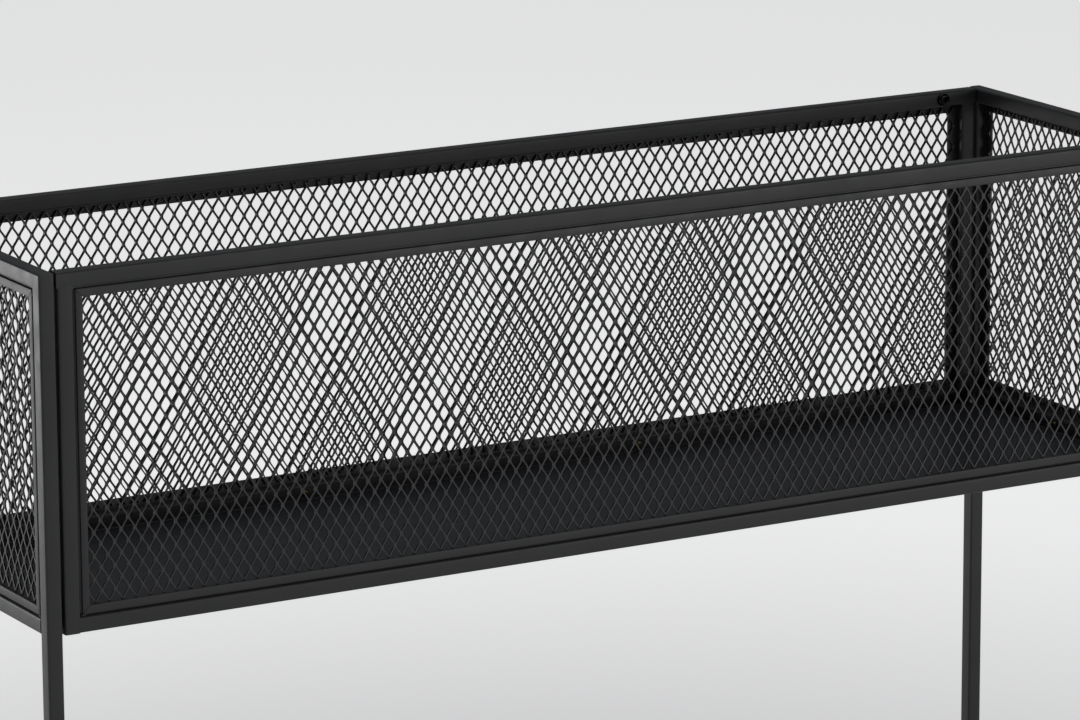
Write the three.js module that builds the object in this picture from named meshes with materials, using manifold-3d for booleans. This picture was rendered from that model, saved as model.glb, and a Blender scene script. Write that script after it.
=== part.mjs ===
// Raised planter on legs: a long open box of black square steel tube with expanded-metal walls,
// bolted together from two end frames, two side panels and a folded floor tray.
// Millimetres, +Z up. X runs along the length, -Y is the front. The origin is on the ground,
// under the centre of the box.
import * as THREE from "three";
import { mergeVertices } from "three/addons/utils/BufferGeometryUtils.js";
import Module from "manifold-3d";

const wasm = await Module();
wasm.setup();

// ---- Driving dimensions ----
const LENGTH = 1200; // outside, end frame to end frame
const DEPTH = 325; // outside, front to back
const BOX_HEIGHT = 325; // the meshed box, rail to rail
const TOTAL_HEIGHT = 800; // ground to rim

const TUBE = 15; // square tube, outside width
const TUBE_WALL = 1.2;
const TUBE_RADIUS = 2; // outer corner radius of the tube
const TOUCH = 0.3; // gap kept between pieces that are welded or pressed together

const PANEL_GAP = 2.4; // between a side panel's upright and the post beside it
const RAIL_END_GAP = 1.4; // between a side panel's top rail and the post
const RETAINER_WIDTH = 8; // flat bar that frames the mesh
const RETAINER_THICKNESS = 3;
const RETAINER_RECESS = 1; // how far the flat bar sits behind the tube's outer face
const RETAINER_GAP = 1.2; // groove between the tube and the flat bar
const WELD_RUN = 1.2; // depth of the weld along the back of that groove
const MESH_THICKNESS = 1.9;
const MESH_INSET = 3; // from the tube wall to the edge of the mesh sheet

const TRAY_SHEET = 1;
const TRAY_FLANGE = 12.5; // height of the upturned edge above the rail's underside
const TRAY_BEND = 1.5; // inner bend radius
const TRAY_CORNER_SLOT = 1.5; // open corner between two flanges

const TONGUE_LENGTH = 62; // flat bar on the post that plugs into the top rail
const TONGUE_HEIGHT = 12;
const TONGUE_THICKNESS = 6;
const BOLT_FROM_CORNER = 41; // inner corner of the box to the bolt's axis
const BOLT_SHANK = 6;
const BOLT_HEAD = 13.6;
const BOLT_HEAD_HEIGHT = 3.3;
const BOLT_LENGTH = 8;

const SCREW_SHANK = 3.9;
const SCREW_HEAD = 7.2;
const SCREW_HEAD_HEIGHT = 2.4;
const SCREW_LENGTH = 9.5;
const SCREW_FROM_MIDDLE = 186; // along the front and back flanges
const SCREW_ABOVE_RAIL_UNDERSIDE = 7;

const CAP_HEIGHT = 4; // foot cap, the part below the tube
const CAP_PLUG_HEIGHT = 12; // and the part inside it

// ---- Places worked out from them ----
const RIM = TOTAL_HEIGHT;
const BOX_FLOOR = RIM - BOX_HEIGHT; // underside of the lower rails
const END_X = LENGTH / 2; // outer face of an end frame
const FACE_Y = DEPTH / 2; // outer face of a side panel
const INNER_X = END_X - TUBE;
const INNER_Y = FACE_Y - TUBE;
const PANEL_END_X = INNER_X - PANEL_GAP;
const OPENING_LOW = BOX_FLOOR + TUBE;
const OPENING_HIGH = RIM - TUBE;
const HOLE_CLEARANCE = 2 * TOUCH;

const ENDS = [
  { name: "left", sign: -1 },
  { name: "right", sign: 1 },
];
const SIDES = [
  { name: "front", sign: -1 },
  { name: "back", sign: 1 },
];

// ---- Materials ----
function material(color, roughness, metalness) {
  return new THREE.MeshStandardMaterial({ color, roughness, metalness });
}
const frameCoat = () => material(0x2a2b2d, 0.5, 0.1);
const retainerCoat = () => material(0x2e2f31, 0.5, 0.1);
const meshCoat = () => material(0x1d1e20, 0.45, 0.1);
const trayCoat = () => material(0x2b2d31, 0.4, 0.1);
const zincPlate = () => material(0x9a8450, 0.35, 0.9);
const blackPlastic = () => material(0x161616, 0.6, 0);

// ---- Solids ----
function toSolid(geometry) {
  const bare = geometry.index ? geometry.toNonIndexed() : geometry.clone();
  bare.deleteAttribute("normal");
  bare.deleteAttribute("uv");
  const merged = mergeVertices(bare, 1e-4);
  const vertProperties = merged.attributes.position.array;
  const triVerts = new Uint32Array(merged.index.array);
  return new wasm.Manifold(new wasm.Mesh({ numProp: 3, vertProperties, triVerts }));
}

function toGeometry(solid) {
  const mesh = solid.getMesh();
  const geometry = new THREE.BufferGeometry();
  geometry.setAttribute("position", new THREE.BufferAttribute(mesh.vertProperties, 3));
  geometry.setIndex(new THREE.BufferAttribute(mesh.triVerts, 1));
  geometry.computeVertexNormals();
  return geometry;
}

function cut(geometry, cutters) {
  const body = cutters.reduce((solid, cutter) => solid.subtract(toSolid(cutter)), toSolid(geometry));
  return toGeometry(body);
}

function join(geometries) {
  return toGeometry(geometries.map(toSolid).reduce((all, solid) => all.add(solid)));
}

// ---- Basic shapes ----
function extrude(shape, depth, curveSegments = 3) {
  return new THREE.ExtrudeGeometry(shape, { depth, bevelEnabled: false, curveSegments });
}

function roundedSquare(path, width, radius) {
  const half = width / 2;
  const flat = half - radius;
  path.moveTo(-flat, -half);
  path.lineTo(flat, -half);
  path.absarc(flat, -flat, radius, -Math.PI / 2, 0, false);
  path.lineTo(half, flat);
  path.absarc(flat, flat, radius, 0, Math.PI / 2, false);
  path.lineTo(-flat, half);
  path.absarc(-flat, flat, radius, Math.PI / 2, Math.PI, false);
  path.lineTo(-half, -flat);
  path.absarc(-flat, -flat, radius, Math.PI, 1.5 * Math.PI, false);
  return path;
}

// Square tube along +Z from 0 to length, centred on the Z axis.
function tube(length) {
  const outline = roundedSquare(new THREE.Shape(), TUBE, TUBE_RADIUS);
  const innerRadius = TUBE_RADIUS - TUBE_WALL;
  outline.holes.push(roundedSquare(new THREE.Path(), TUBE - 2 * TUBE_WALL, innerRadius));
  return extrude(outline, length);
}

// Round cutter or shank along Y, centred on the origin.
function rodAlongY(diameter, length, sides = 20) {
  return new THREE.CylinderGeometry(diameter / 2, diameter / 2, length, sides);
}

// ---- Placing ----
const planter = new THREE.Group();

function place(name, geometry, coat, parent = planter) {
  const mesh = new THREE.Mesh(geometry, coat);
  mesh.name = name;
  parent.add(mesh);
  return mesh;
}

// Tube geometry turned to run along X or Y, centred on the origin, ready for holes and placing.
function tubeAlongX(length) {
  return tube(length).translate(0, 0, -length / 2).rotateY(Math.PI / 2);
}

function tubeAlongY(length) {
  return tube(length).translate(0, 0, -length / 2).rotateX(Math.PI / 2);
}

// A wedge that takes off everything above a 45 degree plane through the origin, rising towards +Y.
function mitreCutter() {
  const size = 4 * TUBE;
  const half = size / 2;
  return new THREE.BoxGeometry(size, size, size).translate(0, 0, half).rotateX(Math.PI / 4);
}

// ---- End frames: two posts that run down as legs, a mitred top rail, a butted lower rail ----
function post(end, side) {
  const foot = CAP_HEIGHT + TOUCH;
  const length = RIM - foot;
  const centreY = side.sign * (FACE_Y - TUBE / 2);
  const towardsCentre = -side.sign;
  // The mitre falls from the outer top corner to the inner one, so the rail can sit on it.
  const mitre = mitreCutter();
  if (towardsCentre > 0) {
    mitre.rotateZ(Math.PI);
  }
  mitre.translate(0, 0, RIM - TUBE / 2 - TOUCH / 2);
  const geometry = cut(tube(length).translate(0, 0, foot), [mitre]);
  const mesh = place(`${side.name}_${end.name}_leg`, geometry, frameCoat());
  mesh.position.set(end.sign * (END_X - TUBE / 2), centreY, 0);
}

function endTopRail(end) {
  const level = RIM - TUBE / 2;
  const cutters = SIDES.map((side) => {
    // Everything outside the same 45 degree plane, a touch gap further in.
    const wedge = mitreCutter().rotateX(Math.PI);
    if (side.sign < 0) {
      wedge.rotateZ(Math.PI);
    }
    const y = side.sign * (FACE_Y - TUBE / 2);
    return wedge.translate(0, y, TOUCH / 2);
  });
  const geometry = cut(tubeAlongY(DEPTH), cutters);
  const mesh = place(`${end.name}_end_top_rail`, geometry, frameCoat());
  mesh.position.set(end.sign * (END_X - TUBE / 2), 0, level);
}

function endLowerRail(end) {
  const length = 2 * (INNER_Y - TOUCH);
  const screwHole = rodAlongY(SCREW_SHANK + HOLE_CLEARANCE, 2 * TUBE_WALL).rotateZ(Math.PI / 2);
  screwHole.translate((-end.sign * TUBE) / 2, 0, SCREW_ABOVE_RAIL_UNDERSIDE - TUBE / 2);
  const geometry = cut(tubeAlongY(length), [screwHole]);
  const mesh = place(`${end.name}_end_lower_rail`, geometry, frameCoat());
  mesh.position.set(end.sign * (END_X - TUBE / 2), 0, BOX_FLOOR + TUBE / 2);
}

// ---- Side panels: a top rail over two uprights, and a lower rail between them ----
function panelTopRail(side) {
  const length = 2 * (INNER_X - RAIL_END_GAP);
  const boltHoles = ENDS.map((end) =>
    rodAlongY(BOLT_SHANK + HOLE_CLEARANCE, 2 * TUBE_WALL).translate(
      end.sign * (INNER_X - BOLT_FROM_CORNER),
      (-side.sign * TUBE) / 2,
      0,
    ),
  );
  const geometry = cut(tubeAlongX(length), boltHoles);
  const mesh = place(`${side.name}_top_rail`, geometry, frameCoat());
  mesh.position.set(0, side.sign * (FACE_Y - TUBE / 2), RIM - TUBE / 2);
}

function panelLowerRail(side) {
  const length = 2 * (PANEL_END_X - TUBE - TOUCH);
  const screwHoles = ENDS.map((end) =>
    rodAlongY(SCREW_SHANK + HOLE_CLEARANCE, 2 * TUBE_WALL).translate(
      end.sign * SCREW_FROM_MIDDLE,
      (-side.sign * TUBE) / 2,
      SCREW_ABOVE_RAIL_UNDERSIDE - TUBE / 2,
    ),
  );
  const geometry = cut(tubeAlongX(length), screwHoles);
  const mesh = place(`${side.name}_lower_rail`, geometry, frameCoat());
  mesh.position.set(0, side.sign * (FACE_Y - TUBE / 2), BOX_FLOOR + TUBE / 2);
}

function panelUpright(side, end) {
  const length = BOX_HEIGHT - TUBE - TOUCH;
  const mesh = place(`${side.name}_${end.name}_upright`, tube(length), frameCoat());
  const x = end.sign * (PANEL_END_X - TUBE / 2);
  mesh.position.set(x, side.sign * (FACE_Y - TUBE / 2), BOX_FLOOR);
}

// ---- Mesh walls: a sheet held by four mitred flat bars inside each frame ----
// A mitred strip in the wall's own plane, from `outside` beyond y = 0 to the bar's inner edge.
function mitredStrip(outerLength, outside) {
  const half = outerLength / 2 - TOUCH;
  const outline = new THREE.Shape();
  outline.moveTo(-half - outside, -outside);
  outline.lineTo(half + outside, -outside);
  outline.lineTo(half - RETAINER_WIDTH, RETAINER_WIDTH);
  outline.lineTo(-half + RETAINER_WIDTH, RETAINER_WIDTH);
  outline.closePath();
  return outline;
}

// A flat bar with its outer edge on y = 0, and the weld that closes the groove behind it.
function retainerBar(outerLength) {
  const bar = extrude(mitredStrip(outerLength, 0), RETAINER_THICKNESS);
  const weld = extrude(mitredStrip(outerLength, RETAINER_GAP - TOUCH), WELD_RUN);
  weld.translate(0, 0, RETAINER_THICKNESS - WELD_RUN);
  return join([bar, weld]);
}

// A wall lies in its group's XY plane: X along the wall, Y up, +Z towards the inside of the box.
function meshWall(wallName, openingWidth, group) {
  const openingHeight = OPENING_HIGH - OPENING_LOW;
  const halfWidth = openingWidth / 2 - RETAINER_GAP;
  const halfHeight = openingHeight / 2 - RETAINER_GAP;
  const bars = [
    { name: "lower", length: 2 * halfWidth, turn: 0, x: 0, y: -halfHeight },
    { name: "upper", length: 2 * halfWidth, turn: Math.PI, x: 0, y: halfHeight },
    { name: "start", length: 2 * halfHeight, turn: -Math.PI / 2, x: -halfWidth, y: 0 },
    { name: "finish", length: 2 * halfHeight, turn: Math.PI / 2, x: halfWidth, y: 0 },
  ];
  bars.forEach((bar) => {
    const mesh = place(`${wallName}_retainer_${bar.name}`, retainerBar(bar.length), retainerCoat(), group);
    mesh.rotation.z = bar.turn;
    mesh.position.set(bar.x, bar.y, RETAINER_RECESS);
  });
  const width = openingWidth - 2 * MESH_INSET;
  const height = openingHeight - 2 * MESH_INSET;
  const sheet = new THREE.BoxGeometry(width, height, MESH_THICKNESS);
  const behind = RETAINER_RECESS + RETAINER_THICKNESS + TOUCH + MESH_THICKNESS / 2;
  place(`${wallName}_mesh`, sheet, meshCoat(), group).position.z = behind;
}

function standWall(wallName, openingWidth, turn, x, y) {
  const upright = new THREE.Group();
  upright.rotation.x = Math.PI / 2; // wall Y becomes world Z, wall +Z points to world -Y
  const turntable = new THREE.Group();
  turntable.rotation.z = turn;
  turntable.position.set(x, y, (OPENING_LOW + OPENING_HIGH) / 2);
  turntable.add(upright);
  planter.add(turntable);
  meshWall(wallName, openingWidth, upright);
}

// ---- Floor tray: one sheet with four upturned flanges, open at the corners ----
// Cross-section of the tray from flange to flange, in XY, on its underside y = -TRAY_SHEET.
function trayProfile(halfSpan) {
  const outer = TRAY_BEND + TRAY_SHEET;
  const bendX = halfSpan - outer;
  const bendY = outer - TRAY_SHEET;
  const outline = new THREE.Shape();
  outline.moveTo(-bendX, -TRAY_SHEET);
  outline.lineTo(bendX, -TRAY_SHEET);
  outline.absarc(bendX, bendY, outer, -Math.PI / 2, 0, false);
  outline.lineTo(halfSpan, TRAY_FLANGE);
  outline.lineTo(halfSpan - TRAY_SHEET, TRAY_FLANGE);
  outline.absarc(bendX, bendY, TRAY_BEND, 0, -Math.PI / 2, true);
  outline.lineTo(-bendX, 0);
  outline.absarc(-bendX, bendY, TRAY_BEND, -Math.PI / 2, -Math.PI, true);
  outline.lineTo(-halfSpan + TRAY_SHEET, TRAY_FLANGE);
  outline.lineTo(-halfSpan, TRAY_FLANGE);
  outline.absarc(-bendX, bendY, outer, Math.PI, 1.5 * Math.PI, false);
  return outline;
}

function floorTray() {
  const halfX = INNER_X - TOUCH;
  const halfY = INNER_Y - TOUCH;
  const corner = TRAY_BEND + TRAY_SHEET + TRAY_CORNER_SLOT;
  const lengthwise = extrude(trayProfile(halfY), 2 * (halfX - corner), 4)
    .translate(0, 0, -(halfX - corner))
    .rotateX(Math.PI / 2)
    .rotateZ(Math.PI / 2);
  const crosswise = extrude(trayProfile(halfX), 2 * (halfY - corner), 4)
    .translate(0, 0, -(halfY - corner))
    .rotateX(Math.PI / 2);
  const holes = [];
  const holeSize = SCREW_SHANK + HOLE_CLEARANCE;
  SIDES.forEach((side) => {
    ENDS.forEach((end) => {
      const hole = rodAlongY(holeSize, 4 * TRAY_SHEET);
      holes.push(hole.translate(end.sign * SCREW_FROM_MIDDLE, side.sign * halfY, SCREW_ABOVE_RAIL_UNDERSIDE));
    });
  });
  ENDS.forEach((end) => {
    const hole = rodAlongY(holeSize, 4 * TRAY_SHEET).rotateZ(Math.PI / 2);
    holes.push(hole.translate(end.sign * halfX, 0, SCREW_ABOVE_RAIL_UNDERSIDE));
  });
  const mesh = place("floor_tray", cut(join([lengthwise, crosswise]), holes), trayCoat());
  mesh.position.z = BOX_FLOOR;
}

// ---- Fasteners ----
// Turned body with its axis along +Y: the shank points to +Y and the domed head to -Y.
function headedFastener(headDiameter, headHeight, shankDiameter, shankLength, socketDepth) {
  const headRadius = headDiameter / 2;
  const rim = headHeight * 0.3;
  const socketRadius = shankDiameter * 0.38;
  const profile = [
    new THREE.Vector2(0, shankLength),
    new THREE.Vector2(shankDiameter / 2, shankLength),
    new THREE.Vector2(shankDiameter / 2, 0),
    new THREE.Vector2(headRadius, 0),
    new THREE.Vector2(headRadius, -rim),
    new THREE.Vector2(headRadius * 0.85, -headHeight * 0.66),
    new THREE.Vector2(headRadius * 0.6, -headHeight * 0.9),
    new THREE.Vector2(socketRadius, -headHeight),
    new THREE.Vector2(socketRadius, -headHeight + socketDepth),
    new THREE.Vector2(0, -headHeight + socketDepth),
  ].reverse();
  return new THREE.LatheGeometry(profile, 20);
}

// The tongue welded to the post, inside the open end of a side panel's top rail.
function connectorTongue(side, end) {
  const plate = new THREE.BoxGeometry(TONGUE_LENGTH, TONGUE_THICKNESS, TONGUE_HEIGHT);
  const centreX = INNER_X - TOUCH - TONGUE_LENGTH / 2;
  const hole = rodAlongY(BOLT_SHANK + HOLE_CLEARANCE, 2 * TONGUE_THICKNESS);
  hole.translate(end.sign * (INNER_X - BOLT_FROM_CORNER - centreX), 0, 0);
  const mesh = place(`${side.name}_${end.name}_tongue`, cut(plate, [hole]), frameCoat());
  const y = side.sign * (INNER_Y + TUBE_WALL + TOUCH + TONGUE_THICKNESS / 2);
  mesh.position.set(end.sign * centreX, y, RIM - TUBE / 2);
}

function connectorBolt(side, end) {
  const geometry = headedFastener(BOLT_HEAD, BOLT_HEAD_HEIGHT, BOLT_SHANK, BOLT_LENGTH, 2);
  const mesh = place(`${side.name}_${end.name}_bolt`, geometry, zincPlate());
  mesh.rotation.z = side.sign > 0 ? 0 : Math.PI;
  mesh.position.set(end.sign * (INNER_X - BOLT_FROM_CORNER), side.sign * (INNER_Y - TOUCH), RIM - TUBE / 2);
}

function trayScrew(name, x, y, turn) {
  const geometry = headedFastener(SCREW_HEAD, SCREW_HEAD_HEIGHT, SCREW_SHANK, SCREW_LENGTH, 1.4);
  const mesh = place(name, geometry, zincPlate());
  mesh.rotation.z = turn;
  mesh.position.set(x, y, BOX_FLOOR + SCREW_ABOVE_RAIL_UNDERSIDE);
}

function trayScrews() {
  const inside = 2 * TOUCH + TRAY_SHEET; // from the rail's inner face to under the screw's head
  SIDES.forEach((side) => {
    ENDS.forEach((end) => {
      const turn = side.sign > 0 ? 0 : Math.PI;
      const name = `tray_screw_${side.name}_${end.name}`;
      trayScrew(name, end.sign * SCREW_FROM_MIDDLE, side.sign * (INNER_Y - inside), turn);
    });
  });
  ENDS.forEach((end) => {
    trayScrew(`tray_screw_${end.name}_end`, end.sign * (INNER_X - inside), 0, (-end.sign * Math.PI) / 2);
  });
}

// ---- Feet: a square plastic cap pressed into the end of each leg ----
function footCap(end, side) {
  const foot = extrude(roundedSquare(new THREE.Shape(), TUBE, TUBE_RADIUS), CAP_HEIGHT);
  const plugWidth = TUBE - 2 * TUBE_WALL - 2 * TOUCH;
  const plug = new THREE.BoxGeometry(plugWidth, plugWidth, CAP_PLUG_HEIGHT + 1);
  plug.translate(0, 0, CAP_HEIGHT + (CAP_PLUG_HEIGHT - 1) / 2);
  const mesh = place(`${side.name}_${end.name}_foot_cap`, join([foot, plug]), blackPlastic());
  mesh.position.set(end.sign * (END_X - TUBE / 2), side.sign * (FACE_Y - TUBE / 2), 0);
}

// ---- The assembly ----
ENDS.forEach((end) => {
  endTopRail(end);
  endLowerRail(end);
  standWall(`${end.name}_end`, 2 * INNER_Y, (-end.sign * Math.PI) / 2, end.sign * END_X, 0);
});
SIDES.forEach((side) => {
  panelTopRail(side);
  panelLowerRail(side);
  standWall(side.name, 2 * (PANEL_END_X - TUBE), side.sign > 0 ? 0 : Math.PI, 0, side.sign * FACE_Y);
});
ENDS.forEach((end) => {
  SIDES.forEach((side) => {
    post(end, side);
    panelUpright(side, end);
    connectorTongue(side, end);
    connectorBolt(side, end);
    footCap(end, side);
  });
});
floorTray();
trayScrews();

export default planter;
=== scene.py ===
import math
import random

import bmesh
import bpy
import numpy as np
from mathutils import Matrix, Vector, noise


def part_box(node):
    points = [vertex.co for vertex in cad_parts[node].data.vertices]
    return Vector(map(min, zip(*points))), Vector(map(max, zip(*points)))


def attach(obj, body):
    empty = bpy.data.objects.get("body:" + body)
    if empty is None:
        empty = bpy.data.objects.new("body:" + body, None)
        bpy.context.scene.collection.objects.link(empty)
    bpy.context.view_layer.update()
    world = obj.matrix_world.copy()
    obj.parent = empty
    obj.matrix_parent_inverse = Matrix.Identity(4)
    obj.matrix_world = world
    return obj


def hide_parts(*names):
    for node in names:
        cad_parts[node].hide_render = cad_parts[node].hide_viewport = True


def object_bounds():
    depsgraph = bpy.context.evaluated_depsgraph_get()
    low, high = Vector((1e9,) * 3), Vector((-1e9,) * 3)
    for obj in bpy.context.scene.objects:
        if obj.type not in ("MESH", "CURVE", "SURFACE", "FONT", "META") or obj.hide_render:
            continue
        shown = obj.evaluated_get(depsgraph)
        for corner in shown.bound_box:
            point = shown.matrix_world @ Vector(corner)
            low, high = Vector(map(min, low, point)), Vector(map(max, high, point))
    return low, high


# Looks for the raised planter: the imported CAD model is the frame, and every tube, bar, wall,
# tray, fastener and cap is rebuilt here in full detail where its CAD node lies. Metres, +Z up.
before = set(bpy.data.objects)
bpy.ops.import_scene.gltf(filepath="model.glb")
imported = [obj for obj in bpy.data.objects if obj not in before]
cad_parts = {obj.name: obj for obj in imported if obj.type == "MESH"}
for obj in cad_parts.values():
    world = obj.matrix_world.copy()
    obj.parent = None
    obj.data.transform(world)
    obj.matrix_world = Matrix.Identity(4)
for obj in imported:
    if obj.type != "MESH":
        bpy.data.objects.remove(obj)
cad_low, cad_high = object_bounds()
random.seed(4)

MM = 0.001
SIDES = {"front": -1, "back": 1}
ENDS = {"left": -1, "right": 1}

# ---- Sizes read from the frame ----
rail_low, rail_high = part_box("front_top_rail")
TUBE = rail_high.z - rail_low.z
RIM = cad_high.z
END_X = cad_high.x
FACE_Y = cad_high.y
BOX_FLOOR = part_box("front_lower_rail")[0].z
OPENING_LOW = BOX_FLOOR + TUBE
OPENING_HIGH = RIM - TUBE
TOUCH = OPENING_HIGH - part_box("front_left_upright")[1].z  # CAD gap between welded pieces

# ---- Sizes of the details ----
TUBE_RADIUS = 2.0 * MM
TUBE_WALL = 1.2 * MM
TUBE_CROWN = 0.12 * MM  # rolled tube bulges a little across each face
CORNER_STEPS = 7
FACE_STEPS = 6
JOINT_BEVEL = 0.28 * MM  # the fine line left where one tube is welded square onto another

LEVEL_GROOVE = 1.5 * MM  # between a tube and the flat bar beside it, at the rails
UPRIGHT_GROOVE = 2.4 * MM  # and at the posts
BAR_EDGE = 0.5 * MM  # radius of the flat bar's edges
WELD_RUN = 0.8 * MM  # depth of the weld that closes the groove behind the bar
TACK_LENGTH = 6 * MM  # weld tack in the groove, at the lower corners of the bars
TACK_WIDTH = 2.2 * MM
TACK_HEIGHT = 1.0 * MM
TACK_DEPTH = 1.1 * MM  # from the bar's face down to the foot of the tack

DIAMOND_WIDTH = 13.28 * MM
DIAMOND_HEIGHT = 21.19 * MM
STRAND = 1.2 * MM  # width of a strand, and half the width of the bond where two of them join
STRAND_LEAN = math.radians(35)  # from the upright
STRAND_THICKNESS = 2.2 * MM
END_STRAND_THICKNESS = 1.6 * MM  # the end walls show less of the cut edges
STRAND_TILT = math.radians(12)  # each strand is turned about the upright; either way, as the sheet lies
SHEET_DEPTH = 5.5 * MM  # from the tubes' outer faces to the middle of the mesh
FRONT_NODE = (-457.8 * MM, 541.6 * MM)  # a bond where four openings meet: along the wall, above ground
BACK_NODE = (479.0 * MM, 750.9 * MM)
BACK_SLOPE = -0.0214  # the back sheet's rows of openings run a little askew

BOLT_HEAD = (6.8 * MM, 3.3 * MM, 0.9 * MM)  # radius, height, and height of the skirt under the dome
BOLT_SHANK = (3.0 * MM, 8.0 * MM)  # radius and length
BOLT_SOCKET = (2.0 * MM, 1.9 * MM)  # reach and depth
SCREW_HEAD = (3.6 * MM, 2.4 * MM, 0.6 * MM)
SCREW_SHANK = (1.9 * MM, 9.5 * MM)
SCREW_CROSS = (1.6 * MM, 1.3 * MM)


# ---- Small helpers ----
def new_piece(name, vertices, faces):
    """A mesh object in world metres that rides on the planter's one body."""
    mesh = bpy.data.meshes.new(name)
    mesh.from_pydata([tuple(v) for v in vertices], [], [tuple(f) for f in faces])
    mesh.validate()
    return finish_piece(name, mesh)


def finish_piece(name, mesh):
    """Puts a finished mesh in the scene, to ride on the planter's one body."""
    mesh.polygons.foreach_set("use_smooth", np.full(len(mesh.polygons), True))
    piece = bpy.data.objects.new(name, mesh)
    bpy.context.scene.collection.objects.link(piece)
    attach(piece, "root")
    return piece


def stand_for(piece, node, material):
    """Lets a piece take the place of its CAD node: hides the node and gives the piece the material."""
    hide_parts(node)
    piece.data.materials.append(material)
    return piece


def facing_out(mesh):
    """Turns every face of a closed mesh outwards."""
    bm = bmesh.new()
    bm.from_mesh(mesh)
    bmesh.ops.recalc_face_normals(bm, faces=bm.faces)
    bm.to_mesh(mesh)
    bm.free()


# ---- Materials ----
class Nodes:
    """A short way to write a material's node tree."""

    def __init__(self, name):
        self.material = bpy.data.materials.new(name)
        self.material.use_nodes = True
        self.tree = self.material.node_tree
        self.shader = self.tree.nodes["Principled BSDF"]
        place = self.tree.nodes.new("ShaderNodeTexCoord")
        self.place = place.outputs["Object"]
        self.normal = place.outputs["Normal"]

    def link(self, output, target):
        self.tree.links.new(output, target)

    def noise(self, scale, detail, vector=None):
        node = self.tree.nodes.new("ShaderNodeTexNoise")
        node.inputs["Scale"].default_value = scale
        node.inputs["Detail"].default_value = detail
        self.link(vector or self.place, node.inputs["Vector"])
        return node.outputs["Fac"]

    def stretch(self, x, y, z):
        node = self.tree.nodes.new("ShaderNodeMapping")
        node.inputs["Scale"].default_value = (x, y, z)
        self.link(self.place, node.inputs["Vector"])
        return node.outputs["Vector"]

    def spread(self, value, low, high, start=0.3, stop=0.7):
        node = self.tree.nodes.new("ShaderNodeMapRange")
        node.inputs["From Min"].default_value = start
        node.inputs["From Max"].default_value = stop
        node.inputs["To Min"].default_value = low
        node.inputs["To Max"].default_value = high
        self.link(value, node.inputs["Value"])
        return node.outputs["Result"]

    def blend(self, factor, first, second):
        node = self.tree.nodes.new("ShaderNodeMix")
        node.data_type = "RGBA"
        self.link(factor, node.inputs["Factor"])
        for socket, value in ((node.inputs["A"], first), (node.inputs["B"], second)):
            if isinstance(value, tuple):
                socket.default_value = (*value, 1)
            else:
                self.link(value, socket)
        return node.outputs["Result"]

    # Its mask is used to paint shade on the mesh's cut edges and on the tray's upright flanges.
    def slant(self):
        """How far the surface faces up or down: 0 on an upright face, 1 on a level one."""
        parts = self.tree.nodes.new("ShaderNodeSeparateXYZ")
        self.link(self.normal, parts.inputs["Vector"])
        size = self.tree.nodes.new("ShaderNodeMath")
        size.operation = "ABSOLUTE"
        self.link(parts.outputs["Z"], size.inputs[0])
        return size.outputs["Value"]

    def bump(self, height, distance, under=None):
        node = self.tree.nodes.new("ShaderNodeBump")
        node.inputs["Distance"].default_value = distance
        self.link(height, node.inputs["Height"])
        if under:
            self.link(under, node.inputs["Normal"])
        return node.outputs["Normal"]

    def set(self, **values):
        for name, value in values.items():
            socket = self.shader.inputs[name.replace("_", " ")]
            if isinstance(value, bpy.types.NodeSocket):
                self.link(value, socket)
            elif isinstance(value, tuple):
                socket.default_value = (*value, 1)
            else:
                socket.default_value = value


def powder_coat(name, dark, light, roughness, shine, peel=1.0):
    """Baked black paint: faint orange peel, a finer grit, and slow changes of tone and gloss."""
    coat = Nodes(name)
    tone = coat.spread(coat.noise(14, 3), 0, 1)
    speckle = coat.spread(coat.noise(2600, 2), 0, 1)
    clouded = coat.blend(tone, dark, light)
    lighter = tuple(1.25 * c for c in light)
    coat.set(Base_Color=coat.blend(coat.spread(speckle, 0, 0.35, 0.55, 1), clouded, lighter))
    coat.set(Roughness=coat.spread(coat.noise(45, 3), roughness - 0.05, roughness + 0.05))
    coat.set(Specular_IOR_Level=shine)
    waves = coat.bump(coat.noise(520, 1.5), 0.05 * MM * peel)
    coat.set(Normal=coat.bump(coat.noise(3200, 2), 0.02 * MM * peel, under=waves))
    return coat.material


def frame_coat():
    return powder_coat("frame_coat", (0.0165, 0.017, 0.0185), (0.021, 0.0215, 0.023), 0.41, 0.33)


def retainer_coat():
    return powder_coat("retainer_coat", (0.018, 0.0185, 0.020), (0.023, 0.0235, 0.025), 0.44, 0.36, 1.3)


def mesh_coat():
    """Expanded metal: coated strand faces; the cut edges, which face up or down, are matt and carry painted
    shade, a near-black colour.
    """
    coat = Nodes("mesh_coat")
    # Painted shade: faces turned up or down (the strands' cut edges) are masked here and get a near-black
    # colour, less shine and more roughness.
    cut = coat.spread(coat.slant(), 0, 1, 0.25, 0.48)
    face = coat.blend(coat.spread(coat.noise(60, 3), 0, 1), (0.017, 0.0175, 0.019), (0.023, 0.0235, 0.025))
    # The near-black colour here is painted shade on the cut edges.
    coat.set(Base_Color=coat.blend(cut, face, (0.004, 0.004, 0.0045)))
    coat.set(Roughness=coat.spread(cut, 0.42, 0.7, 0, 1))
    coat.set(Specular_IOR_Level=coat.spread(cut, 0.52, 0.08, 0, 1))
    coat.set(Normal=coat.bump(coat.noise(900, 2), 0.03 * MM))
    return coat.material


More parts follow.
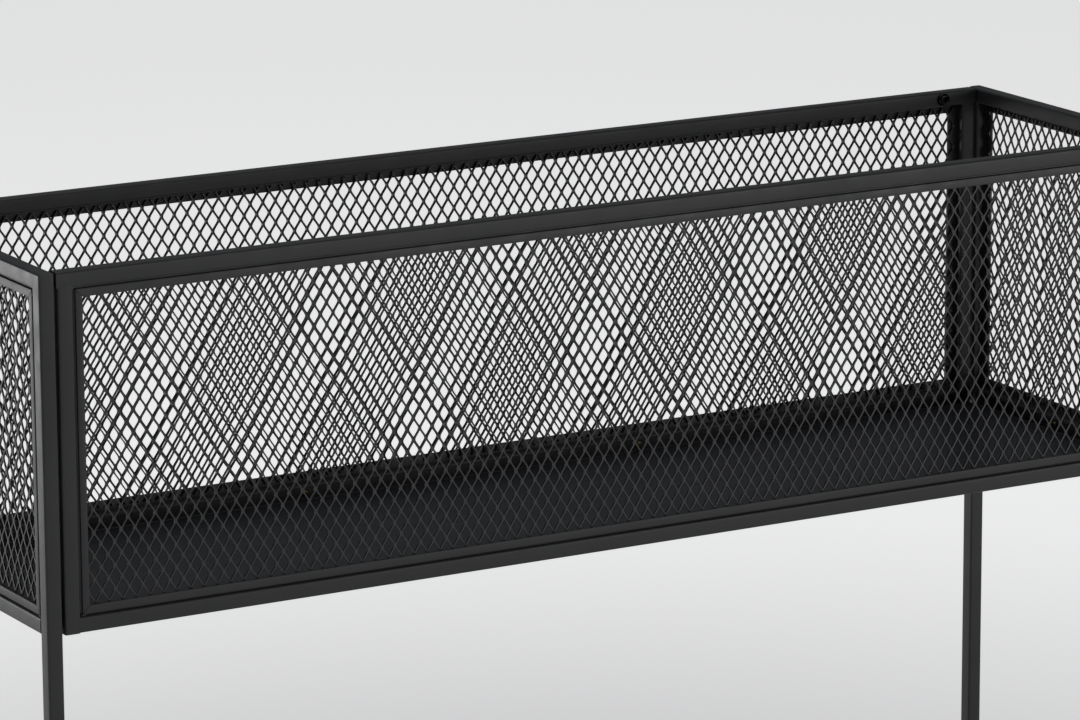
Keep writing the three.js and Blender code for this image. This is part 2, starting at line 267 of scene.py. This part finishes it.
def tray_coat():
    """Black paint, glossier on the floor of the tray than on its bent-up edges, which are also painted
    darker as shade.
    """
    coat = Nodes("tray_coat")
    # Painted shade: where level is near 0, on the upright flanges, the colour is darker and the shine lower
    # than on the floor.
    level = coat.spread(coat.slant(), 0, 1, 0.3, 0.8)
    clouded = coat.blend(coat.spread(coat.noise(14, 3), 0, 1), (0.011, 0.012, 0.015), (0.015, 0.016, 0.020))
    # The darker colour here is painted shade on the flanges.
    coat.set(Base_Color=coat.blend(level, (0.006, 0.006, 0.007), clouded))
    coat.set(Roughness=coat.spread(coat.noise(45, 3), 0.40, 0.50))
    coat.set(Specular_IOR_Level=coat.spread(level, 0.15, 0.45, 0, 1))
    waves = coat.bump(coat.noise(520, 1.5), 0.04 * MM)
    coat.set(Normal=coat.bump(coat.noise(3200, 2), 0.016 * MM, under=waves))
    return coat.material


def plated_steel(name, base, warm, roughness):
    plate = Nodes(name)
    bloom = plate.spread(plate.noise(420, 3), 0, 1)
    plate.set(Base_Color=plate.blend(bloom, base, warm), Metallic=1.0)
    plate.set(Roughness=plate.spread(plate.noise(900, 2), roughness - 0.06, roughness + 0.08))
    turned = plate.noise(2400, 2, vector=plate.stretch(1, 0.15, 1))
    plate.set(Normal=plate.bump(turned, 0.02 * MM))
    return plate.material


def black_plastic():
    plastic = Nodes("foot_plastic")
    tone = plastic.spread(plastic.noise(60, 2), 0, 1)
    plastic.set(Base_Color=plastic.blend(tone, (0.012, 0.012, 0.012), (0.019, 0.019, 0.020)))
    plastic.set(Roughness=plastic.spread(plastic.noise(200, 2), 0.52, 0.62))
    plastic.set(Normal=plastic.bump(plastic.noise(2200, 2), 0.04 * MM))
    return plastic.material


FRAME_COAT = frame_coat()
RETAINER_COAT = retainer_coat()
MESH_COAT = mesh_coat()
TRAY_COAT = tray_coat()
SCREW_PLATE = plated_steel("yellow_zinc", (0.075, 0.058, 0.030), (0.11, 0.082, 0.045), 0.30)
BOLT_PLATE = plated_steel("dark_oxide", (0.012, 0.011, 0.010), (0.019, 0.017, 0.016), 0.14)
PLASTIC = black_plastic()


# ---- Square tube ----
def rounded_square(width, radius, crown=0.0):
    """Points round a square with round corners, anticlockwise; its faces may bulge to the full width."""
    flat = width / 2 - radius
    low = width / 2 - crown
    points = []
    for corner in range(4):
        turn = Matrix.Rotation(math.radians(90 * corner), 2)
        centre = flat - crown
        for step in range(CORNER_STEPS + 1):
            angle = math.radians(90 * step / CORNER_STEPS)
            reach = Vector((centre + radius * math.cos(angle), centre + radius * math.sin(angle)))
            points.append(turn @ reach)
        for step in range(1, FACE_STEPS if crown else 1):
            share = 2 * step / FACE_STEPS - 1
            points.append(turn @ Vector((-centre * share, low + crown * (1 - share * share))))
    return points


def ring_faces(first, second, count):
    """Quads between two rings of points, given the index of each ring's first point."""
    return [
        (first + i, first + (i + 1) % count, second + (i + 1) % count, second + i)
        for i in range(count)
    ]


def tube_mesh(length, slopes, bevels):
    """A hollow tube along Z. A slope of 1 or -1 mitres that end at 45 degrees across Y."""
    start_slope, end_slope = slopes
    start_bevel, end_bevel = bevels
    outer = rounded_square(TUBE, TUBE_RADIUS, TUBE_CROWN)
    inner = rounded_square(TUBE - 2 * TUBE_WALL, TUBE_RADIUS - TUBE_WALL, TUBE_CROWN)
    count = len(outer)
    rings = []

    def ring(outline, level, slope, inset=0.0):
        scale = 1 - 2 * inset / TUBE
        rings.append([(x * scale, y * scale, level + slope * y) for x, y in outline])

    ring(inner, 0, start_slope)
    ring(outer, 0, start_slope, start_bevel)
    if start_bevel:
        ring(outer, start_bevel, start_slope)
    if end_bevel:
        ring(outer, length - end_bevel, end_slope)
    ring(outer, length, end_slope, end_bevel)
    ring(inner, length, end_slope)
    vertices = [point for one in rings for point in one]
    faces = []
    for k in range(len(rings)):
        following = (k + 1) % len(rings)
        faces += ring_faces(k * count, following * count, count)
    return vertices, faces


AXIS_TURNS = {
    "x": Matrix.Rotation(math.radians(90), 4, "Y"),
    "y": Matrix.Rotation(math.radians(-90), 4, "X"),
    "z": Matrix.Identity(4),
}


def weld_tack(start, end, out):
    """A short rippled bead between two places: a half-round ridge that tapers at its ends."""
    start, end = Vector(start), Vector(end)
    up = Vector((0, 0, 1))
    run = end - start
    ripple = 1.1 * MM
    rings, arc = 4 * max(3, round(run.length / ripple)), 8
    vertices = []
    faces = []
    for k in range(rings + 1):
        share = k / rings
        taper = math.sqrt(max(0.04, 1 - (2 * share - 1) ** 2))
        wave = 0.9 + 0.1 * abs(math.sin(math.pi * run.length * share / ripple))
        sway = 0.12 * TACK_WIDTH * noise.noise(start * 300 + run * share * 400)
        size = taper * wave
        for step in range(arc + 1):
            angle = math.pi * step / arc
            point = start + run * share + up * (0.5 * TACK_WIDTH * size * math.cos(angle) + sway)
            vertices.append(point + out * (TACK_HEIGHT * size * math.sin(angle)))
    ring = arc + 1
    for k in range(rings):
        faces += ring_faces(k * ring, (k + 1) * ring, ring)
    faces.append(tuple(reversed(range(ring))))
    faces.append(tuple(range(rings * ring, (rings + 1) * ring)))
    return vertices, faces


def merged(shapes):
    """One list of vertices and one of faces from several."""
    vertices, faces = [], []
    for more_vertices, more_faces in shapes:
        first = len(vertices)
        vertices += more_vertices
        faces += [tuple(first + i for i in face) for face in more_faces]
    return vertices, faces


def tube_piece(node, axis, slopes=(0.0, 0.0), grow=(0.0, 0.0), bevels=(0.0, 0.0)):
    """The tube that stands for a CAD node, grown at each end to meet what it is welded to."""
    low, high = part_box(node)
    spot = (low + high) / 2
    index = "xyz".index(axis)
    reach = (high[index] - low[index]) / 2
    start, end = -reach - grow[0], reach + grow[1]
    shifts = [abs(slope) * TUBE / 2 for slope in slopes]
    length = end - start - shifts[0] - shifts[1]
    vertices, faces = tube_mesh(length, slopes, bevels)
    lift = Matrix.Translation((0, 0, start + shifts[0]))
    place = Matrix.Translation(spot) @ AXIS_TURNS[axis] @ lift
    piece = new_piece(node + "_tube", [place @ Vector(v) for v in vertices], faces)
    facing_out(piece.data)
    piece.data.set_sharp_from_angle(angle=math.radians(34))
    return stand_for(piece, node, FRAME_COAT)


def frame_tubes():
    bevels = (JOINT_BEVEL, JOINT_BEVEL)
    touches = (TOUCH, TOUCH)
    filled = (TOUCH + TUBE_RADIUS, TOUCH + TUBE_RADIUS)
    for end in ENDS:
        for side, sign in SIDES.items():
            leg = f"{side}_{end}_leg"
            tube_piece(leg, "z", slopes=(0.0, sign), grow=(0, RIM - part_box(leg)[1].z))
            tube_piece(f"{side}_{end}_upright", "z", grow=(0, TOUCH + TUBE_RADIUS))
        rail = f"{end}_end_top_rail"
        mitre_gap = FACE_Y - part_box(rail)[1].y
        tube_piece(rail, "y", slopes=(1.0, -1.0), grow=(mitre_gap, mitre_gap))
        tube_piece(f"{end}_end_lower_rail", "y", grow=touches, bevels=bevels)
    for side in SIDES:
        tube_piece(f"{side}_top_rail", "x", bevels=bevels)
        tube_piece(f"{side}_lower_rail", "x", grow=filled)


# ---- Walls: a raised expanded-metal sheet and four mitred flat bars ----
class Wall:
    """One wall's own frame: u along it, v up, and n out of the box."""

    def __init__(self, name, along, out, node, slope, tilt, thickness):
        self.name = name
        self.along = Vector(along)
        self.out = Vector(out)
        self.node = node
        self.slope = slope
        self.tilt = tilt
        self.thickness = thickness
        low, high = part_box(name + "_mesh")
        size = high - low
        self.width = abs(self.along.dot(size))
        self.height = size.z
        self.middle_z = (low.z + high.z) / 2
        face = END_X if abs(self.out.x) > 0.5 else FACE_Y
        self.face = self.out * face

    def world(self, points):
        """World places of an array of (u, v, n), n being 0 on the tubes' outer faces."""
        base = np.array(self.face) + np.array((0, 0, self.middle_z))
        u, v, n = points[:, 0:1], points[:, 1:2], points[:, 2:3]
        return base + u * np.array(self.along) + v * np.array((0, 0, 1)) + n * np.array(self.out)


def lattice_cells(wall):
    """Middles of all the openings that touch the sheet, in units of a sixth of a diamond."""
    start_u, start_v = wall.node
    reach_u = wall.width / 2 + DIAMOND_WIDTH
    reach_v = wall.height / 2 + DIAMOND_HEIGHT
    first = math.floor((-reach_u - start_u) / DIAMOND_WIDTH)
    last = math.ceil((reach_u - start_u) / DIAMOND_WIDTH)
    cells = []
    for i in range(first, last + 1):
        for half_u, half_v in ((3, 0), (0, 3)):
            away = (6 * i + half_u) * DIAMOND_WIDTH / 6
            lift = start_v + wall.slope * away
            low = math.floor((-reach_v - lift) / DIAMOND_HEIGHT)
            high = math.ceil((reach_v - lift) / DIAMOND_HEIGHT)
            for j in range(low, high + 1):
                v = lift + (6 * j + half_v) * DIAMOND_HEIGHT / 6
                if abs(start_u + away) < reach_u and abs(v) < reach_v:
                    cells.append((6 * i + half_u, 6 * j + half_v))
    return np.array(cells)


def opening_outline():
    """Twelve points round an opening, and the twelve places in sixths on the rhomb round it."""
    half_width = DIAMOND_WIDTH / 2 - STRAND
    across, along = math.cos(STRAND_LEAN), math.sin(STRAND_LEAN)
    inner = DIAMOND_WIDTH / 4 * across + DIAMOND_HEIGHT / 4 * along - STRAND / 2

    def strand_edge(u):
        return (inner - u * across) / along

    bond_end = strand_edge(half_width)
    bend = 0.80 * half_width
    quarter = [(half_width, 0), (0.965 * half_width, 0.88 * bond_end), (bend, strand_edge(bend))]
    rhomb = [(3, 0), (2, 1), (1, 2)]
    outline, around = [], []
    for k in range(4):
        mirror_u = 1 if k in (0, 3) else -1
        mirror_v = 1 if k in (0, 1) else -1
        part = [(mirror_u * u, mirror_v * v) for u, v in quarter]
        grid = [(mirror_u * u, mirror_v * v) for u, v in rhomb]
        tip, corner = (0.0, mirror_v * strand_edge(0)), (0, 3 * mirror_v)
        if k % 2 == 0:
            outline += part
            around += grid
        else:
            outline += [tip] + part[:0:-1]
            around += [corner] + grid[:0:-1]
    return np.array(outline), np.array(around)


def strand_height(u, v, tilt):
    """How far a strand stands out of the sheet's middle, (u, v) from its opening's middle."""
    middle_line = DIAMOND_WIDTH / 4 + (DIAMOND_HEIGHT / 4 - np.abs(v)) * math.tan(STRAND_LEAN)
    middle_line = np.clip(middle_line, 0, DIAMOND_WIDTH / 2)
    return -math.tan(tilt) * (u - np.sign(u) * middle_line)


def lattice_mesh(wall):
    """Both faces of the sheet and the cut edges round its openings, before it is trimmed."""
    cells = lattice_cells(wall)
    outline, around = opening_outline()
    sides = len(outline)
    count = len(cells)
    sixth = np.array((DIAMOND_WIDTH / 6, DIAMOND_HEIGHT / 6))
    middles = cells * sixth
    rim = (middles[:, None, :] + outline[None]).reshape(-1, 2)
    rim_out = np.tile(strand_height(outline[:, 0], outline[:, 1], wall.tilt), count)
    keys = (cells[:, None, :] + around[None]).reshape(-1, 2)
    grid_out = np.tile(strand_height(*(around * sixth).T, wall.tilt), count)
    unique, first, index = np.unique(keys, axis=0, return_index=True, return_inverse=True)
    index = index.reshape(count, sides)
    grid = unique * sixth
    flat = np.concatenate((rim, grid))
    out = np.concatenate((rim_out, grid_out[first]))
    half = wall.thickness / 2
    shift_u, shift_out = half * math.sin(wall.tilt), half * math.cos(wall.tilt)
    u = wall.node[0] + flat[:, 0]
    v = wall.node[1] + flat[:, 1] + wall.slope * flat[:, 0]
    outer = np.stack((u + shift_u, v, out + shift_out), 1)
    inner = np.stack((u - shift_u, v, out - shift_out), 1)
    total = len(flat)
    ring = np.arange(count * sides).reshape(count, sides)
    ring_next = np.roll(ring, -1, 1)
    post = index + count * sides
    post_next = np.roll(post, -1, 1)
    front = np.stack((ring, post, post_next, ring_next), -1).reshape(-1, 4)
    back = front[:, ::-1] + total
    edge = np.stack((ring, ring_next, ring_next + total, ring + total), -1).reshape(-1, 4)
    return np.concatenate((outer, inner)), np.concatenate((front, back, edge))


def trimmed(vertices, faces, wall):
    """The lattice cut to the sheet's rectangle, its cut strands closed."""
    mesh = bpy.data.meshes.new(wall.name + "_mesh")
    mesh.from_pydata(vertices.tolist(), [], faces.tolist())
    bm = bmesh.new()
    bm.from_mesh(mesh)
    cuts = (
        ((wall.width / 2, 0, 0), (1, 0, 0)),
        ((-wall.width / 2, 0, 0), (-1, 0, 0)),
        ((0, wall.height / 2, 0), (0, 1, 0)),
        ((0, -wall.height / 2, 0), (0, -1, 0)),
    )
    for place, normal in cuts:
        cut = bmesh.ops.bisect_plane(
            bm,
            geom=bm.verts[:] + bm.edges[:] + bm.faces[:],
            dist=1e-7,
            plane_co=place,
            plane_no=normal,
            clear_outer=True,
        )
        edges = [e for e in cut["geom_cut"] if isinstance(e, bmesh.types.BMEdge)]
        bmesh.ops.holes_fill(bm, edges=edges, sides=0)
    bm.to_mesh(mesh)
    bm.free()
    return mesh


def mesh_wall(wall):
    vertices, faces = lattice_mesh(wall)
    mesh = trimmed(vertices, faces, wall)
    places = np.zeros(len(mesh.vertices) * 3)
    mesh.vertices.foreach_get("co", places)
    places = places.reshape(-1, 3)
    places[:, 2] -= SHEET_DEPTH
    mesh.vertices.foreach_set("co", wall.world(places).reshape(-1))
    mesh.update()
    facing_out(mesh)
    piece = finish_piece(wall.name + "_expanded_metal", mesh)
    mesh.set_sharp_from_angle(angle=math.radians(42))
    return stand_for(piece, wall.name + "_mesh", MESH_COAT)


def bar_section(width, thickness, groove):
    """A flat bar's section with the weld behind it: (distance in from its outer edge, depth)."""
    section = []
    corners = ((width - BAR_EDGE, BAR_EDGE, 90), (BAR_EDGE, BAR_EDGE, 180))
    for across, depth, start in corners:
        for step in range(4):
            angle = math.radians(start - 90 + 90 * step / 3)
            section.append((across + BAR_EDGE * math.cos(angle), depth - BAR_EDGE * math.sin(angle)))
    weld_top = thickness - WELD_RUN
    for step in range(5):
        angle = math.radians(90 * step / 4)
        section.append((-groove * (1 - math.cos(angle)), weld_top + 0.5 * WELD_RUN * math.sin(angle)))
    section.append((-groove, thickness))
    section.append((width - 0.2 * MM, thickness))
    section.append((width, thickness - 0.2 * MM))
    return section


def retainer_bars(wall):
    """The flat bars, from their CAD boxes: mitred, welded along their backs and at the lower corners."""
    for part in ("lower", "upper", "start", "finish"):
        node = f"{wall.name}_retainer_{part}"
        low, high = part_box(node)
        centre = (low + high) / 2 - wall.face
        size = high - low
        half_u = abs(wall.along.dot(size)) / 2
        half_v = size.z / 2
        thickness = abs(wall.out.dot(size))
        face = wall.out.dot(centre) + thickness / 2
        level = half_u > half_v
        side_way = centre.z - wall.middle_z if level else wall.along.dot(centre)
        sign = math.copysign(1, side_way)
        half_width, half_length = (half_v, half_u) if level else (half_u, half_v)
        tube_side = abs(side_way) + half_width + TOUCH
        corner = half_length + TOUCH
        inner = abs(side_way) - half_width
        own, other = (LEVEL_GROOVE, UPRIGHT_GROOVE) if level else (UPRIGHT_GROOVE, LEVEL_GROOVE)
        width = tube_side - own - inner
        mitre = (tube_side - other - inner) / width
        section = bar_section(width, thickness, own)
        points = []
        for end in (-1, 1):
            for across, depth in section:
                ease = across * (mitre if across > 0 else other / own)
                run = end * (corner - other - ease)
                place = sign * (tube_side - own - across)
                points.append((run, place, face - depth) if level else (place, run, face - depth))
        count = len(section)
        faces = ring_faces(0, count, count)
        faces += [tuple(range(count)), tuple(range(count, 2 * count))]
        shapes = [(list(wall.world(np.array(points))), faces)]
        if part == "lower":
            groove = (tube_side - own / 2) * sign
            for end in (-1, 1):
                runs = (end * (corner - 0.4 * MM), end * (corner - TACK_LENGTH))
                ends = np.array([(run, groove, face - TACK_DEPTH) for run in runs])
                shapes.append(weld_tack(*wall.world(ends), wall.out))
        piece = new_piece(node + "_bar", *merged(shapes))
        facing_out(piece.data)
        piece.data.set_sharp_from_angle(angle=math.radians(50))
        stand_for(piece, node, RETAINER_COAT)


def walls():
    middle = (OPENING_LOW + OPENING_HIGH) / 2
    long, end = STRAND_THICKNESS, END_STRAND_THICKNESS
    front_node = (FRONT_NODE[0], FRONT_NODE[1] - middle)
    back_node = (BACK_NODE[0], BACK_NODE[1] - middle)
    all_walls = (
        Wall("front", (1, 0, 0), (0, -1, 0), front_node, 0.0, -STRAND_TILT, long),
        Wall("back", (-1, 0, 0), (0, 1, 0), back_node, BACK_SLOPE, STRAND_TILT, long),
        Wall("left_end", (0, -1, 0), (-1, 0, 0), (0, 0), 0.0, STRAND_TILT, end),
        Wall("right_end", (0, 1, 0), (1, 0, 0), (0, 0), 0.0, STRAND_TILT, end),
    )
    for wall in all_walls:
        mesh_wall(wall)
        retainer_bars(wall)


# ---- Floor tray ----
TRAY_SHEET = 1.0 * MM
TRAY_BEND = 2.0 * MM  # radius of the bend, on the middle of the sheet
TRAY_SLOT = 1.5 * MM  # open corner between two flanges
TRAY_EDGE = 0.2 * MM  # radius of the sheet's cut edges
TRAY_WARP = 0.35 * MM  # the sheet isn't quite flat
FIXED_RIM = 50 * MM  # but lies flat this far in from the bends
WARPS_PER_METRE = 6


def floor_tray():
    """The middle surface of the folded sheet, given its thickness by Solidify."""
    low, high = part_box("floor_tray")
    half_x = high.x - TRAY_SHEET / 2
    half_y = high.y - TRAY_SHEET / 2
    floor_z = low.z + TRAY_SHEET / 2
    flat_x, flat_y = half_x - TRAY_BEND, half_y - TRAY_BEND
    bm = bmesh.new()
    columns, rows = 96, 24
    grid = []
    for i in range(columns + 1):
        x = flat_x * (2 * i / columns - 1)
        line = []
        for j in range(rows + 1):
            y = flat_y * (2 * j / rows - 1)
            free = min(1.0, (flat_x - abs(x)) / FIXED_RIM, (flat_y - abs(y)) / FIXED_RIM)
            wave = noise.noise(Vector((x * WARPS_PER_METRE, y * WARPS_PER_METRE, 3.1)))
            line.append(bm.verts.new((x, y, floor_z + TRAY_WARP * free * wave)))
        grid.append(line)
    for i in range(columns):
        for j in range(rows):
            bm.faces.new((grid[i][j], grid[i + 1][j], grid[i + 1][j + 1], grid[i][j + 1]))
    steps = 8

    def flange(edge, outward):
        """Sweeps a bend and a flange up from a row of floor vertices, short of the corners."""
        edge = edge[1:-1]
        previous = edge
        for step in range(1, steps + 2):
            angle = math.radians(90 * min(step, steps) / steps)
            move = outward * (TRAY_BEND * math.sin(angle))
            rise = TRAY_BEND * (1 - math.cos(angle)) if step <= steps else high.z - floor_z
            ring = [bm.verts.new((v.co.x + move.x, v.co.y + move.y, floor_z + rise)) for v in edge]
            for k in range(len(edge) - 1):
                bm.faces.new((previous[k], previous[k + 1], ring[k + 1], ring[k]))
            previous = ring

    slot_x, slot_y = flat_x - TRAY_SLOT, flat_y - TRAY_SLOT
    for i in (1, columns - 1):
        for j in range(rows + 1):
            grid[i][j].co.x = math.copysign(slot_x, grid[i][j].co.x)
    for j in (1, rows - 1):
        for i in range(columns + 1):
            grid[i][j].co.y = math.copysign(slot_y, grid[i][j].co.y)
    flange([line[0] for line in grid], Vector((0, -1, 0)))
    flange([line[-1] for line in grid], Vector((0, 1, 0)))
    flange(grid[0], Vector((-1, 0, 0)))
    flange(grid[-1], Vector((1, 0, 0)))
    bmesh.ops.recalc_face_normals(bm, faces=bm.faces)
    mesh = bpy.data.meshes.new("floor_tray")
    bm.to_mesh(mesh)
    bm.free()
    piece = finish_piece("floor_tray_sheet", mesh)
    thick = piece.modifiers.new("sheet", "SOLIDIFY")
    thick.thickness = TRAY_SHEET
    thick.offset = 0
    bevel = piece.modifiers.new("round_edges", "BEVEL")
    bevel.width = TRAY_EDGE
    bevel.segments = 2
    bevel.limit_method = "ANGLE"
    bevel.angle_limit = math.radians(60)
    return stand_for(piece, "floor_tray", TRAY_COAT)


# ---- Fasteners ----
def hexagon(angle):
    """Distance from the middle to a hexagon's edge, whose flats are 1 from the middle."""
    sector = math.radians(60)
    return 1 / math.cos((angle % sector) - sector / 2)


def cross(angle):
    """Outline of a cross recess, whose arms reach 1."""
    arm = abs(math.sin(2 * angle))
    return 0.42 + 0.58 * (1 - arm) ** 1.4


def domed_profile(radius, height, skirt, steps=9):
    """Head from under its rim to its crown: a short skirt, then a low dome down to the recess."""
    profile = [(0, radius * 0.97), (0.08 * MM, radius), (skirt, radius)]
    for step in range(1, steps + 1):
        angle = math.radians(90 * step / steps)
        reach = radius * (0.45 + 0.55 * math.cos(angle))
        profile.append((skirt + (height - skirt) * math.sin(angle), reach))
    return profile


def fastener_mesh(head, shank, recess, recess_sizes, around=48):
    """A headed fastener along +Y, its head towards -Y, with a recess of the given outline."""
    profile = domed_profile(*head)
    recess_size, recess_depth = recess_sizes
    vertices, faces = [], []

    def ring(level, reach):
        first = len(vertices)
        for k in range(around):
            angle = 2 * math.pi * k / around
            distance = reach(angle) if callable(reach) else reach
            vertices.append((distance * math.cos(angle), level, distance * math.sin(angle)))
        return first

    shank_radius, shank_length = shank
    rings = [ring(shank_length, shank_radius * 0.8), ring(shank_length - 0.5 * MM, shank_radius)]
    rings.append(ring(0, shank_radius))
    for level, radius in profile:
        rings.append(ring(-level, radius))
    crown = profile[-1][0]
    rings.append(ring(-crown, lambda angle: recess_size * recess(angle)))
    rings.append(ring(-crown + 0.15 * MM, lambda angle: 0.94 * recess_size * recess(angle)))
    rings.append(ring(-crown + recess_depth, lambda angle: 0.80 * recess_size * recess(angle)))
    for first, second in zip(rings, rings[1:]):
        faces += ring_faces(first, second, around)
    faces.append(tuple(reversed(range(around))))
    faces.append(tuple(range(rings[-1], rings[-1] + around)))
    return vertices, faces


def place_fastener(node, made, inward, plate, spin):
    """Seats a fastener in its CAD node's box, its head towards the inside of the box."""
    low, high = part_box(node)
    spot = (low + high) / 2
    inward = Vector(inward)
    reach = abs(inward.dot(high - low)) / 2
    crown = min(v[1] for v in made[0])
    top = spot + inward * reach
    turn = inward.to_track_quat("-Y", "Z").to_matrix().to_4x4()
    seat = Matrix.Translation(top + inward * crown) @ turn @ Matrix.Rotation(spin, 4, "Y")
    piece = new_piece(node + "_turned", [seat @ Vector(v) for v in made[0]], made[1])
    facing_out(piece.data)
    piece.data.set_sharp_from_angle(angle=math.radians(38))
    return stand_for(piece, node, plate)


def fasteners():
    bolt = fastener_mesh(BOLT_HEAD, BOLT_SHANK, hexagon, BOLT_SOCKET)
    screw = fastener_mesh(SCREW_HEAD, SCREW_SHANK, cross, SCREW_CROSS)
    for side, side_sign in SIDES.items():
        for end in ENDS:
            spin = random.uniform(0, math.pi)
            place_fastener(f"{side}_{end}_bolt", bolt, (0, -side_sign, 0), BOLT_PLATE, spin)
            spin = random.uniform(0, math.pi)
            place_fastener(f"tray_screw_{side}_{end}", screw, (0, -side_sign, 0), SCREW_PLATE, spin)
    for end, end_sign in ENDS.items():
        spin = random.uniform(0, math.pi)
        place_fastener(f"tray_screw_{end}_end", screw, (-end_sign, 0, 0), SCREW_PLATE, spin)


# ---- Feet and the hidden tongues ----
def foot_caps():
    for side in SIDES:
        for end in ENDS:
            node = f"{side}_{end}_foot_cap"
            low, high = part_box(node)
            spot = (low + high) / 2
            tube_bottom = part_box(f"{side}_{end}_leg")[0].z
            plug = TUBE - 2 * TUBE_WALL - 0.4 * MM
            levels = [
                (low.z, TUBE - 1.6 * MM, 1.2 * MM),
                (low.z + 0.25 * MM, TUBE - 0.7 * MM, 1.5 * MM),
                (low.z + 0.8 * MM, TUBE, TUBE_RADIUS),
                (tube_bottom - 0.3 * MM, TUBE, TUBE_RADIUS),
                (tube_bottom, TUBE - 0.5 * MM, 1.5 * MM),
                (tube_bottom, plug, 0.5 * MM),
                (high.z, plug - 0.6 * MM, 0.4 * MM),
            ]
            vertices, faces = [], []
            count = 4 * (CORNER_STEPS + 1)
            for level, width, radius in levels:
                vertices += [(spot.x + x, spot.y + y, level) for x, y in rounded_square(width, radius)]
            for k in range(len(levels) - 1):
                faces += ring_faces(k * count, (k + 1) * count, count)
            faces.append(tuple(reversed(range(count))))
            faces.append(tuple(range((len(levels) - 1) * count, len(levels) * count)))
            piece = new_piece(node + "_moulded", vertices, faces)
            piece.data.set_sharp_from_angle(angle=math.radians(30))
            stand_for(piece, node, PLASTIC)


def tongues():
    for side in SIDES:
        for end in ENDS:
            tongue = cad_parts[f"{side}_{end}_tongue"]
            tongue.data.materials.clear()
            tongue.data.materials.append(FRAME_COAT)


# ---- Studio ----
FLOOR_RADIUS = 6.7
FLOOR_GLOW = 0.59
MIDDLE_GLOW = 0.45 * FLOOR_GLOW
GLOW_NEAR, GLOW_FAR = 0.2, 2.1  # metres from the planter's middle, where the glow starts and stops rising


def pale_paper():
    """White paper that glows a little, and less under the planter, so that it looks even."""
    paper = Nodes("pale_paper")
    tone = paper.spread(paper.noise(0.6, 2), 0, 1)
    distance = paper.tree.nodes.new("ShaderNodeVectorMath")
    distance.operation = "LENGTH"
    paper.link(paper.place, distance.inputs[0])
    glow = paper.spread(distance.outputs["Value"], MIDDLE_GLOW, FLOOR_GLOW, GLOW_NEAR, GLOW_FAR)
    glow.node.interpolation_type = "SMOOTHSTEP"
    paper.set(Base_Color=paper.blend(tone, (0.80, 0.80, 0.81), (0.83, 0.83, 0.84)), Roughness=0.9)
    paper.set(Emission_Color=(1.0, 1.0, 1.0), Emission_Strength=glow)
    return paper.material


def studio():
    mesh = bpy.data.meshes.new("studio_floor")
    turns = [math.radians(360 * step / 96) for step in range(96)]
    rim = [(FLOOR_RADIUS * math.cos(turn), FLOOR_RADIUS * math.sin(turn), 0) for turn in turns]
    mesh.from_pydata(rim, [], [tuple(range(len(rim)))])
    mesh.materials.append(pale_paper())
    floor = bpy.data.objects.new("studio_floor", mesh)
    bpy.context.scene.collection.objects.link(floor)
    group = bpy.data.collections.new("not_lit_by_softboxes")
    group.objects.link(floor)
    group.collection_objects[0].light_linking.link_state = "EXCLUDE"
    return group


def soft_light(name, place, target, size, power, unlit=None):
    """A soft rectangle of light. The unlit group holds what it passes by, so the floor stays even."""
    light = bpy.data.lights.new(name, "AREA")
    light.shape = "RECTANGLE"
    light.size, light.size_y = size
    light.energy = power
    lamp = bpy.data.objects.new(name, light)
    bpy.context.scene.collection.objects.link(lamp)
    lamp.location = place
    aim = Vector(target) - Vector(place)
    lamp.rotation_mode = "QUATERNION"
    lamp.rotation_quaternion = aim.to_track_quat("-Z", "Y")
    lamp.visible_camera = False
    lamp.light_linking.receiver_collection = unlit


def lights(unlit):
    soft_light("front_softbox", (2.3, -3.6, 0.95), (0, 0, 0.6), (2.4, 0.8), 33, unlit)
    soft_light("back_left_softbox", (-1.8, 1.7, 0.5), (-0.6, 0, 0.6), (1.0, 0.7), 12, unlit)
    soft_light("top_softbox", (-0.3, 0.6, 4.2), (0.2, 0.9, 0), (3.2, 3.2), 42)
    world = bpy.data.worlds.new("studio_air")
    world.use_nodes = True
    world.node_tree.nodes["Background"].inputs["Color"].default_value = (0.95, 0.97, 1.0, 1)
    world.node_tree.nodes["Background"].inputs["Strength"].default_value = 0.16
    bpy.context.scene.world = world
    bpy.context.scene.view_settings.view_transform = "Standard"


CAMERA_PLACE = (-2.5689, -4.4540, 1.8301)
CAMERA_YAW = math.radians(29.88)  # turned from +Y towards +X
CAMERA_PITCH = math.radians(13.25)  # looking down
CAMERA_ROLL = math.radians(-0.26)
CAMERA_LENS = 186.6


def camera():
    data = bpy.data.cameras.new("camera")
    data.sensor_fit = "HORIZONTAL"
    data.sensor_width = 36
    data.lens = CAMERA_LENS
    data.clip_start = 0.05
    data.clip_end = 60
    seen = bpy.data.objects.new("camera", data)
    bpy.context.scene.collection.objects.link(seen)
    heading = Matrix.Rotation(-CAMERA_YAW, 4, "Z")
    tilt = Matrix.Rotation(math.radians(90) - CAMERA_PITCH, 4, "X")
    roll = Matrix.Rotation(CAMERA_ROLL, 4, "Z")
    seen.matrix_world = Matrix.Translation(CAMERA_PLACE) @ heading @ tilt @ roll
    bpy.context.scene.camera = seen


frame_tubes()
walls()
floor_tray()
fasteners()
foot_caps()
tongues()
lights(studio())
camera()
